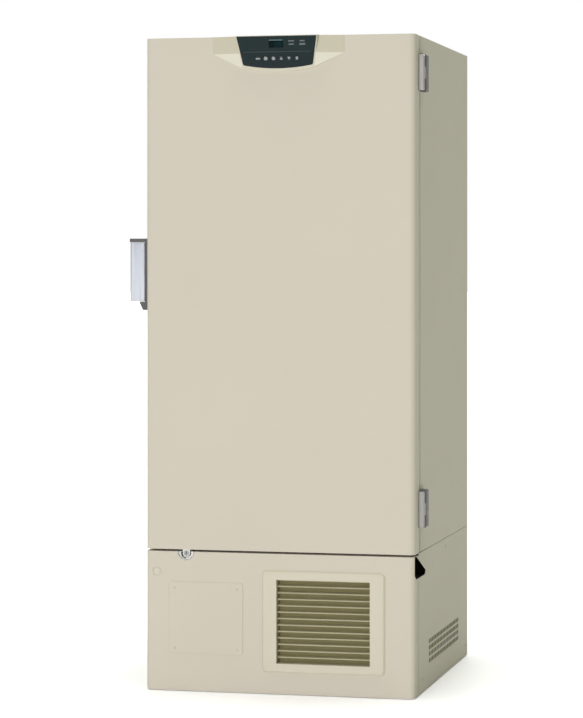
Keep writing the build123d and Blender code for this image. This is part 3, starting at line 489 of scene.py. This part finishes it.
def arc(radius, start, end, steps):
    """Points round the origin between two angles in degrees."""
    angles = [math.radians(start + (end - start) * i / steps) for i in range(steps + 1)]
    return [(radius * math.cos(a), radius * math.sin(a)) for a in angles]


def disc(radius, steps=24):
    """Outline of a circle round the origin."""
    return arc(radius, 0, 360, steps)[:-1]


def rounded(width, height, corner, steps=5):
    """Outline of a rounded rectangle round the origin."""
    points = []
    for quarter, (sx, sy) in enumerate(((1, 1), (-1, 1), (-1, -1), (1, -1))):
        middle_u, middle_v = sx * (width / 2 - corner), sy * (height / 2 - corner)
        bend = arc(corner, 90 * quarter, 90 * (quarter + 1), steps)
        points += [(middle_u + x, middle_v + y) for x, y in bend]
    return points


def turned(shape, profile, foot, axis, steps=24):
    """Adds a lathe-turned form: pairs of radius and height along an axis that starts at a foot."""
    turn = facing(axis)
    rings = []
    for radius, rise in profile:
        ring = disc(radius, steps) if radius else [(0, 0)]
        rings.append([shape.verts.new(Vector(foot) + turn @ Vector((x, y, rise))) for x, y in ring])
    ring_walls(shape, rings)


def screw(shape, foot, axis, radius=4.0):
    """Adds a domed screw head with a cross recess."""
    steps = 32
    turn = facing(axis)
    arm = [0.62 if i % (steps // 4) in (0, 1, steps // 4 - 1) else 0.22 for i in range(steps)]
    full = [1.0] * steps
    levels = ((full, 1.0, 0.0), (full, 1.0, 0.12), (full, 0.9, 0.34), (full, 0.72, 0.46), (arm, 1.0, 0.5),
              (arm, 0.85, 0.2))
    rings = []
    for shares, scale, rise in levels:
        points = [Vector((share * scale * x, share * scale * y, radius * rise))
                  for share, (x, y) in zip(shares, disc(radius, steps))]
        rings.append([shape.verts.new(Vector(foot) + turn @ point) for point in points])
    recess_floor = Vector((0, 0, radius * levels[-1][2]))
    rings.append([shape.verts.new(Vector(foot) + turn @ recess_floor)])
    ring_walls(shape, rings)


def raised(shape, outline, place, rise, rim=0.3):
    """Adds a low plate with a chamfered rim; place makes a point of two outline numbers and a height."""
    inner = []
    for i, (x, y) in enumerate(outline):
        (x0, y0), (x1, y1) = outline[i - 1], outline[(i + 1) % len(outline)]
        inward = Vector((y0 - y1, x1 - x0)).normalized()
        inner.append((x + rim * inward.x, y + rim * inward.y))
    rings = [[shape.verts.new(place(x, y, height)) for x, y in ring]
             for ring, height in ((outline, 0), (outline, rise - rim), (inner, rise))]
    ring_walls(shape, rings)
    shape.faces.new(rings[-1])


def add_screws(name, body, slot, places, axis, radius=4.0):
    shape = bmesh.new()
    for foot in places:
        screw(shape, foot, axis, radius)
    add_piece(name, shape, body, slot)


# Control housing
def folded_housing():
    """Wedge that carries the control face, with a folded wing on each side of it."""
    wing_x, face_x, foot_x = 194, 120, 106
    fold_drop, foot_drop, belly_drop = 49, 89, 103
    fold_z, foot_z, belly_z = (cabinet_height - drop for drop in (fold_drop, foot_drop, belly_drop))
    steps = 24

    def on_tilt(x, z):
        """Point of the tilted front at a place across and a height."""
        return Vector((x, tilt_origin.y + (z - cabinet_height) * tilt_up.y / tilt_up.z, z))

    shape = bmesh.new()
    fold_x = face_x + (foot_x - face_x) * fold_drop / foot_drop
    belly_r = (foot_x ** 2 + (foot_z - belly_z) ** 2) / 2 / (foot_z - belly_z)
    lower_edge = []
    for i in range(steps + 1):
        x = foot_x - 2 * foot_x * i / steps
        lower_edge.append((x, belly_z + belly_r - math.sqrt(belly_r ** 2 - x ** 2)))
    front = [shape.verts.new(on_tilt(x, z)) for x, z in lower_edge]
    behind = [shape.verts.new((x, 0, z)) for x, z in lower_edge]
    for i in range(steps):
        shape.faces.new((front[i], front[i + 1], behind[i + 1], behind[i]))
    corners = {}
    for side, foot, foot_back in ((1, front[0], behind[0]), (-1, front[-1], behind[-1])):
        fold = shape.verts.new(on_tilt(side * fold_x, fold_z))
        brow = shape.verts.new(on_tilt(side * face_x, cabinet_height))
        tip_low = shape.verts.new((side * wing_x, 0, fold_z))
        tip_high = shape.verts.new((side * wing_x, 0, cabinet_height))
        lean = fold.co.y / (wing_x - fold_x)
        shoulder = shape.verts.new((side * face_x, lean * (wing_x - face_x), cabinet_height))
        # Index 1 holds the upper facets' painted shade, index 2 the lower facets' painted light.
        for shade, corner in ((1, (tip_high, tip_low, fold, shoulder)), (1, (shoulder, fold, brow)),
                              (2, (tip_low, foot, fold)), (2, (tip_low, foot_back, foot))):
            shape.faces.new(corner).material_index = shade
        corners[side] = (brow, fold, tip_high, shoulder)
    (brow, fold, tip, shoulder), (brow_left, fold_left, tip_left, shoulder_left) = corners[1], corners[-1]
    shape.faces.new((brow, fold, *front, fold_left, brow_left))
    shape.faces.new((tip, shoulder, brow, brow_left, shoulder_left, tip_left))
    housing = add_piece("folded_housing", shape, "outer_door", "housing_cream")
    # The wings' upper facets take a darker cream and their lower facets a paler one: painted shade and
    # painted light on one moulding.
    for name, colour in (("wing_upper_painted_shade", (203, 199, 177)), ("wing_lower_painted_light", (225, 222, 205))):
        housing.data.materials.append(cream(name, colour, worn=colour))
    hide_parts("control_housing")


# Marks on the control face, each with its place across and up it
def printed_mark(name, colour):
    """Ink of one pale colour, a little worn."""
    return coated(name, colour, worn=colour, roughness=0.6, dimples=1500.0, depth=0.05, radius=0.0004,
                  spread=0.06, gloss=0.1)


pale_ink = printed_mark("pale_ink", (158, 161, 160))
dim_ink = printed_mark("dim_ink", (62, 73, 72))
lamp_ink = printed_mark("lamp_ink", (114, 122, 120))
bar_ink = printed_mark("bar_ink", (96, 124, 130))
segment_ink = printed_mark("segment_ink", (16, 62, 66))


def key_symbols():
    """Plain pale shapes on the six keys."""
    key_pitch, key_v, key_out = 22.8, -66, 3
    symbol_rise, symbol_rim = 0.25, 0.1
    arrow = ((-4.6, -3.6), (4.6, -3.6), (0, 4.8))
    arrow_down = [(-x, -y) for x, y in arrow]
    symbols = (rounded(13, 4.4, 2), disc(5.4), disc(5.0), arrow, arrow_down, rounded(6.4, 8.4, 1.2))
    for index, outline in enumerate(symbols):
        u = key_pitch * (index - (len(symbols) - 1) / 2)
        shape = bmesh.new()
        raised(shape, outline, lambda x, y, rise: on_face(u + x, key_v + y, key_out + rise),
               symbol_rise, symbol_rim)
        add_piece(f"key_symbol_{index + 1}", shape, f"key_{index + 1}", "key_grey", pale_ink)


def add_bars(name, bars, out, slot, ink, corner, steps=5):
    """Rounded bars on the door's tilted face: place across, place up, width and height."""
    bar_rise, bar_rim = 0.2, 0.05
    shape = bmesh.new()
    for u, v, width, height in bars:
        raised(shape, rounded(width, height, corner, steps),
               lambda x, y, rise: on_face(u + x, v + y, out + rise), bar_rise, bar_rim)
    add_piece(name, shape, "outer_door", slot, ink)


def face_marks():
    """Lamp dashes, the display's bar and unlit digits, and the line above the keys."""
    face_out, pane_out = 2, 1.8
    lamps = ((43, -16.5, 17, 3.4), (43, -26, 16, 3.4), (75, -16.5, 15, 3.4), (75, -26, 17, 5))
    add_bars("lamp_dashes", lamps, pane_out, "window_glass", lamp_ink, 1)
    add_bars("display_bar", [(-2, -13.4, 40, 3)], pane_out, "window_glass", bar_ink, 0.8)
    digit_v, dash = -25.5, (0, 0, 6, 1.3)
    digit = [dash, (0, 6, 6, 1.3), (0, -6, 6, 1.3)]
    digit += [(side, v, 1.3, 4.6) for side in (-3.6, 3.6) for v in (-3, 3)]
    segments = []
    for cell, bars in ((-13.5, [dash]), (-2, digit), (9.5, digit)):
        segments += [(cell + u, digit_v + v, width, height) for u, v, width, height in bars]
    add_bars("display_segments", segments, pane_out, "window_glass", segment_ink, 0.5, 3)
    add_bars("face_divider", [(0, -47, 198, 2.2)], face_out, "face_dark", dim_ink, 0.8)


# Skirts along the floor
def swept(shape, path, section):
    """Adds a strip: a section of inset and height carried along points with their outward directions."""
    rows = []
    for x, y, out_x, out_y in path:
        rows.append([shape.verts.new((x - out_x * inset, y - out_y * inset, z)) for inset, z in section])
    ring_walls(shape, rows)
    for row in (rows[0], rows[-1]):
        shape.faces.new(row)


def floor_skirts():
    """Strips that close the gap between the panels and the floor."""
    section = ((0.4, 11), (0.4, 3), (1.0, 1.6), (2.4, 1.4), (3.2, 2.2), (3.2, 11))
    corner, panel_back, side_front, side_back, steps = 18, 54, 58, 876, 8
    path = [(-half_width, panel_back, -1, 0)]
    for centre_x, start in ((corner - half_width, 180), (half_width - corner, 270)):
        bend = arc(1, start, start + 90, steps)
        path += [(centre_x + corner * x, corner + corner * y, x, y) for x, y in bend]
    path.append((half_width, panel_back, 1, 0))
    shape = bmesh.new()
    swept(shape, path, section)
    add_piece("skirt_front", shape, "front_panel", "cabinet_paint")
    for name, side in sides:
        run = [(side * half_width, side_front + (side_back - side_front) * i / steps, side, 0)
               for i in range(steps + 1)]
        shape = bmesh.new()
        swept(shape, run, section)
        add_piece(f"skirt_{name}", shape, "cabinet", "cabinet_paint")


# Lock
lock_x, lock_z = -275, 397
dish_front = 5.5


def lock_dish():
    """Pale half-round plate round the lock; its hole lets the lock through as the door swings."""
    dish_z, outer_r, thick = 402, 22.5, 2
    hole_shift, hole_wide, hole_tall = 0.9, 13.1, 11.6
    hole = [(hole_shift + hole_wide * x, hole_tall * z) for x, z in arc(1, 180, 360, 28)]
    hole = [(hole[0][0], dish_z - lock_z), *hole, (hole[-1][0], dish_z - lock_z)]
    rim = arc(outer_r, 180, 360, len(hole) - 1)
    shape = bmesh.new()
    loops = []
    for y in (dish_front, dish_front + thick):
        outer = [shape.verts.new((lock_x + x, y, dish_z + z)) for x, z in rim]
        inner = [shape.verts.new((lock_x + x, y, lock_z + z)) for x, z in hole]
        loops.append((outer, inner))
    (front_outer, front_inner), (back_outer, back_inner) = loops
    for first, second in ((front_outer, front_inner), (front_inner, back_inner),
                          (back_inner, back_outer), (back_outer, front_outer)):
        for i in range(len(hole) - 1):
            shape.faces.new((first[i], first[i + 1], second[i + 1], second[i]))
    for i in (0, -1):
        shape.faces.new((front_outer[i], front_inner[i], back_inner[i], back_outer[i]))
    add_piece("lock_dish", shape, "front_panel", "liner_white")


def painted_lock_shadow():
    """Dark curved sliver on the dish, left of the lock: painted shadow."""
    shadow_inner, shadow_outer, shadow_start, shadow_end, sunk, rise = 12.5, 15.4, 165, 265, 0.4, 1.2
    outline = arc(shadow_outer, shadow_start, shadow_end, 14) + arc(shadow_inner, shadow_end, shadow_start, 14)
    shape = bmesh.new()
    # Painted shadow: a dark crescent laid on the dish round the left and lower side of the lock.
    raised(shape, outline, lambda x, z, out: Vector((lock_x + x, dish_front + sunk - out, lock_z + z)), rise)
    add_piece("painted_lock_shadow", shape, "front_panel", "pocket_black")


# Screens, fasteners and pipes
def vent_screens():
    """Dark mesh behind the vents of each side panel, above and below the base plate."""
    screen_y, screen_length, screen_in, screen_rise = 466, 498, 3.2, 1.6
    for name, side in sides:
        shape = bmesh.new()
        for low, high in ((66, 91.5), (95.5, 148)):
            raised(shape, rounded(screen_length, high - low, 3), lambda u, v, rise: Vector(
                (side * (half_width - screen_in + rise), screen_y + u, (low + high) / 2 + v)), screen_rise)
        add_piece(f"vent_screen_{name}", shape, "cabinet", "filter_mesh")


def panel_screws():
    """Four screws in the recorder's cover and four in each side panel."""
    recorder_corners = [(x, -2, z) for x in (-308, -121.5) for z in (125, 297)]
    add_screws("recorder_screws", "front_panel", "cabinet_paint", recorder_corners, (0, -1, 0), 3.2)
    for name, side in sides:
        places = [(side * half_width, y, z) for y, z in ((491, 383.5), (764, 319.5), (120, 40), (840, 40))]
        add_screws(f"side_panel_screws_{name}", "cabinet", "cabinet_paint", places, (side, 0, 0))


def hinge_screws():
    """Three screws in each half of the two hinges."""
    hinge_middles, hinge_side, head_r = (532, 1774), half_width + 15.6, 3.4
    # The cabinet's screws take the hinge_dark finish, painted shade of the hinge metal.
    for name, body, slot, y, step in (("hinge_door_screws", "outer_door", "hinge_chrome", 57, 32),
                                      ("hinge_cabinet_screws", "cabinet", "hinge_dark", 108, 36)):
        places = [(hinge_side, y, z + shift) for z in hinge_middles for shift in (-step, 0, step)]
        add_screws(name, body, slot, places, (1, 0, 0), head_r)


def back_fasteners():
    """Screws round the rear cover and a row of rivets up each edge of the back."""
    edge_in, cover_top = 14, 392
    edges = [side * (half_width - edge_in) for _, side in sides]
    places = [(x, cabinet_back, z) for x in edges for z in (80, 240, cover_top)]
    places += [(x, cabinet_back, cover_top) for x in (-127, 127)]
    add_screws("rear_cover_screws", "cabinet", "frame_steel", places, (0, 1, 0))
    rivet = ((3.6, 0), (3.6, 0.4), (3.0, 1.1), (1.6, 1.6), (0, 1.7))
    lowest, pitch, count = 440, 200, 8
    shape = bmesh.new()
    for x in edges:
        for step in range(count):
            turned(shape, rivet, (x, cabinet_back, lowest + step * pitch), (0, 1, 0))
    add_piece("back_rivets", shape, "cabinet", "cabinet_paint")


def dish_cap():
    """Low domed cap in the round dish of the front panel."""
    dome = ((9.5, 0), (9.5, 0.5), (8.6, 1.1), (5, 1.6), (0, 1.8))
    shape = bmesh.new()
    turned(shape, dome, (-361, 2, 344), (0, -1, 0), 32)
    add_piece("dish_cap", shape, "front_panel", "housing_cream")


def inlet_pins():
    """Three contact pins in the mains inlet."""
    pin = ((2.2, 0), (2.2, 6.5), (1.6, 8), (0, 8.4))
    shape = bmesh.new()
    for x, z in ((-288, 119), (-272, 119), (-280, 127)):
        turned(shape, pin, (x, 872, z), (0, 1, 0))
    add_piece("inlet_pins", shape, "cabinet", "frame_steel")


def add_pipe(name, points, radius, body, slot):
    """Bent tube through given points."""
    curve = bpy.data.curves.new(name, "CURVE")
    curve.dimensions = "3D"
    curve.bevel_depth = radius * MM
    curve.bevel_resolution = 5
    curve.use_fill_caps = True
    line = curve.splines.new("NURBS")
    line.points.add(len(points) - 1)
    for point, place in zip(line.points, points):
        point.co = (*spot(*place), 1)
    line.use_endpoint_u = True
    line.order_u = 3
    curve.materials.append(finishes[slot])
    place_piece(bpy.data.objects.new(name, curve), body)


def refrigerant_pipes():
    """Copper runs from the two compressors to the condenser and up to the cold chamber."""
    pipe_r = 4.5
    runs = {
        "discharge_pipe": ((-180, 640, 312), (-180, 640, 345), (-180, 560, 352), (-40, 300, 352),
                           (-40, 180, 345), (-14, 118, 332), (-8, 106, 330)),
        "return_pipe": ((140, 640, 312), (140, 640, 350), (210, 640, 356), (330, 560, 360), (330, 300, 360),
                        (300, 140, 340), (274, 106, 330)),
        "suction_pipe": ((-120, 640, 300), (-120, 690, 330), (-60, 740, 345), (20, 760, 366), (20, 760, 404)),
    }
    for name, points in runs.items():
        add_pipe(name, points, pipe_r, "cabinet", "coil_copper")


for make_pieces in (folded_housing, key_symbols, face_marks, floor_skirts, lock_dish, painted_lock_shadow, vent_screens,
                    panel_screws, hinge_screws, back_fasteners, dish_cap, inlet_pins, refrigerant_pipes):
    make_pieces()


# Camera, light and floor
def make_camera():
    data = bpy.data.cameras.new("reference_view")
    data.lens = focal_pixels * sensor_long / image_long
    data.sensor_width = sensor_long
    data.shift_y = (axis_row - image_long / 2) / image_long
    data.clip_end = 100
    camera = bpy.data.objects.new("reference_view", data)
    camera.location = spot(*camera_place)
    camera.rotation_euler = (math.radians(90), 0, math.radians(camera_turn))
    bpy.context.scene.collection.objects.link(camera)
    bpy.context.scene.camera = camera


def make_sun(name, towards, strength, angle, colour=(1, 1, 1)):
    """Soft distant light that shines from a direction."""
    data = bpy.data.lights.new(name, "SUN")
    data.energy = strength
    data.color = colour
    data.angle = math.radians(angle)
    sun = bpy.data.objects.new(name, data)
    sun.rotation_euler = Vector(towards).to_track_quat("Z", "Y").to_euler()
    bpy.context.scene.collection.objects.link(sun)


def seen_directly(tree):
    """1 for rays from the camera, from a mirror or through glass, and 0 for rays that light a surface."""
    path = put(tree, "ShaderNodeLightPath").outputs
    shown = math_node(tree, "MAXIMUM", path["Is Camera Ray"], path["Is Glossy Ray"])
    return math_node(tree, "MAXIMUM", shown, path["Is Transmission Ray"])


def make_world(ambient):
    """White where it is seen; where it lights a surface, the given colour."""
    world = bpy.data.worlds.new("studio")
    world.use_nodes = True
    tree = world.node_tree
    shade = mix_colour(tree, seen_directly(tree), (*ambient, 1), (1, 1, 1, 1))
    tree.links.new(shade, tree.nodes["Background"].inputs["Color"])
    bpy.context.scene.world = world


def make_floor(reach, clear):
    """Round pale floor that keeps the shadow near the object and turns plain white further out."""
    near_glow, far_glow = 0.22, 0.6
    mesh = bpy.data.meshes.new("floor")
    shape = bmesh.new()
    bmesh.ops.create_circle(shape, cap_ends=True, segments=96, radius=reach)
    shape.to_mesh(mesh)
    shape.free()
    floor = bpy.data.objects.new("floor", mesh)
    bpy.context.scene.collection.objects.link(floor)
    material, tree, shader = finish("pale_floor", 0.9, gloss=0.5)
    shader.inputs["Base Color"].default_value = (0.9, 0.9, 0.9, 1)
    far = put(tree, "ShaderNodeVectorMath", {0: object_point(tree)}, operation="LENGTH").outputs["Value"]
    white = remap(tree, far, 0.4 * clear, clear, near_glow, far_glow)
    share = math_node(tree, "MULTIPLY", white, seen_directly(tree))
    glow = put(tree, "ShaderNodeEmission", {"Color": (0.98, 0.96, 1.0, 1), "Strength": share})
    lit = put(tree, "ShaderNodeAddShader", {0: shader.outputs[0], 1: glow.outputs[0]})
    tree.links.new(lit.outputs[0], tree.nodes["Material Output"].inputs["Surface"])
    mesh.materials.append(material)


make_camera()
make_world((0.116, 0.128, 0.098))
make_sun("front_light", (-0.12, -1.0, 0.14), 1.5, 12, (0.965, 0.915, 1.0))
make_sun("top_light", (0.0, 0.0, 1.0), 2.25, 36, (0.98, 1.0, 0.94))
make_sun("back_light", (-0.15, 1.0, 0.25), 0.9, 15)
make_floor(150, 1.3)
bpy.context.scene.view_settings.view_transform = "Standard"
